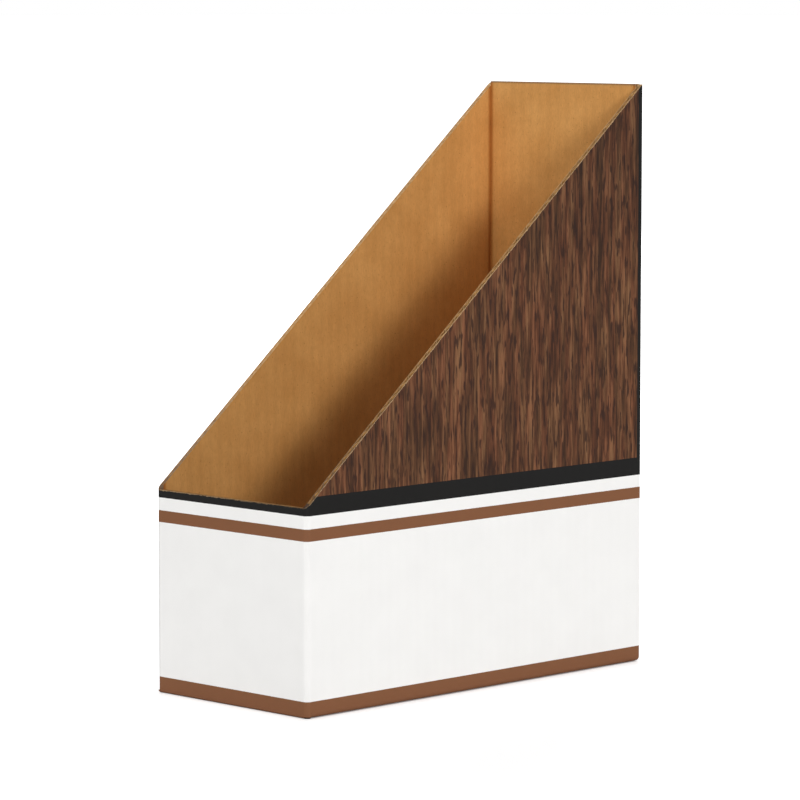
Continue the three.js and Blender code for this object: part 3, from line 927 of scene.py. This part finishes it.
# %% Make the floor
FLOOR_SIZE, FLOOR_DROP = 60.0, 0.2 * MM
FLOOR_GLOW, GLOW_FROM, GLOW_TO = 0.42, 0.25, 0.9
ROOM_REACH = 12 * MM
floor_paper = bpy.data.materials.new("white_studio_floor")
floor_paper.use_nodes = True
tree = floor_paper.node_tree
seen = add(tree, "ShaderNodeLightPath").outputs
place = add(tree, "ShaderNodeTexCoord").outputs["Object"]
away = add(tree, "ShaderNodeVectorMath", {0: place}, operation="LENGTH")
fade = add(tree, "ShaderNodeMapRange", {0: away, 1: GLOW_FROM, 2: GLOW_TO, 3: FLOOR_GLOW, 4: 1.0}, **SOFT)
room = add(tree, "ShaderNodeAmbientOcclusion", {"Distance": ROOM_REACH}, samples=8)
in_the_open = add(tree, "ShaderNodeMapRange", {0: room.outputs["AO"], 1: 0.2, 2: 0.42}, **SOFT)
open_glow = add(tree, "ShaderNodeMath", {0: fade, 1: in_the_open}, operation="MULTIPLY")
glow = add(tree, "ShaderNodeMath", {0: seen["Is Camera Ray"], 1: open_glow}, operation="MULTIPLY")
matt = {"Base Color": paint("#f4f4f4"), "Roughness": 0.9, "Specular IOR Level": 0.1}
glowing = {"Emission Color": paint("#ffffff"), "Emission Strength": glow}
feed(tree.nodes["Principled BSDF"], {**matt, **glowing})

floor_mesh = bpy.data.meshes.new("floor")
corners = [(-1, -1), (1, -1), (1, 1), (-1, 1)]
floor_mesh.from_pydata([(x * FLOOR_SIZE, y * FLOOR_SIZE, 0.0) for x, y in corners], [], [(0, 1, 2, 3)])
floor_mesh.materials.append(floor_paper)
floor = bpy.data.objects.new("floor", floor_mesh)
bpy.context.scene.collection.objects.link(floor)
floor.location.z = -FLOOR_DROP
floor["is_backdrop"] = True
print("floor:", FLOOR_SIZE * 2, "m across")

# %% [markdown]
# ## The light
# Three large lamps light the holder softly, because paper shows best under light with no hard edges. The
# key lamp stands far to the right, the fill lamp in front, and the back lamp lifts the faces that the
# camera in front can't see. The room adds an even light from all sides. It looks white to the camera and
# in reflections, but lights the paper at a lower strength.

# %% Light the studio
AMBIENT = 0.37
world = bpy.data.worlds.new("soft_studio")
world.use_nodes = True
bpy.context.scene.world = world
tree = world.node_tree
seen = add(tree, "ShaderNodeLightPath").outputs
direct = {0: seen["Is Camera Ray"], 1: seen["Is Glossy Ray"]}
either = add(tree, "ShaderNodeMath", direct, operation="MAXIMUM")
any_of = add(tree, "ShaderNodeMath", {0: either, 1: seen["Is Transmission Ray"]}, operation="MAXIMUM")
level = add(tree, "ShaderNodeMapRange", {0: any_of, 1: 0.0, 2: 1.0, 3: AMBIENT, 4: 1.0})
feed(tree.nodes["Background"], {"Color": paint("#ffffff"), "Strength": level})

middle_of_holder = Vector((0.0, 0.0, back_height * 0.45))
# For each lamp: its place, its size in metres and its power in watts.
lamps = {
    "key_lamp": ((4.02, -1.79, 1.12), 0.9, 104.5),
    "fill_lamp": ((0.3, -2.6, 1.25), 1.5, 20.5),
    "back_lamp": ((-2.3, 2.5, 1.5), 1.5, 60.0),
}
for name, (place, size, power) in lamps.items():
    lamp = bpy.data.lights.new(name, "AREA")
    lamp.shape, lamp.size, lamp.energy = "SQUARE", size, power
    stand = bpy.data.objects.new(name, lamp)
    stand.location = place
    stand.rotation_euler = (middle_of_holder - Vector(place)).to_track_quat("-Z", "Y").to_euler()
    bpy.context.scene.collection.objects.link(stand)
print("lamps:", ", ".join(lamps))

# %% [markdown]
# ## The camera
# The camera is far away with a long lens, as the nearly parallel edges in the photograph show. It looks
# down by less than six degrees and sees the front and the right side about equally.

# %% Set up the camera
SENSOR, LENS = 36.0, 178.47
VIEW_DIRECTION = Vector((-0.7023, 0.7047, -0.1005))
camera = bpy.data.cameras.new("camera")
camera.sensor_width, camera.lens = SENSOR, LENS
viewer = bpy.data.objects.new("camera", camera)
viewer.location = (1.4, -1.4075, 0.341)
viewer.rotation_euler = VIEW_DIRECTION.to_track_quat("-Z", "Y").to_euler()
bpy.context.scene.collection.objects.link(viewer)
bpy.context.scene.camera = viewer
bpy.context.scene.view_settings.view_transform = "Standard"
print("camera at", [round(v, 3) for v in viewer.location])

# %% [markdown]
# ## The dressed holder's size
# The dressed holder should be as large as the imported one, whose size is printed at the start. Its box
# is printed here in millimetres.

# %% Write the sizes and finish
low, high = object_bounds()
print("visual box:", [round((b - a) / MM, 2) for a, b in zip(low, high)], "mm")
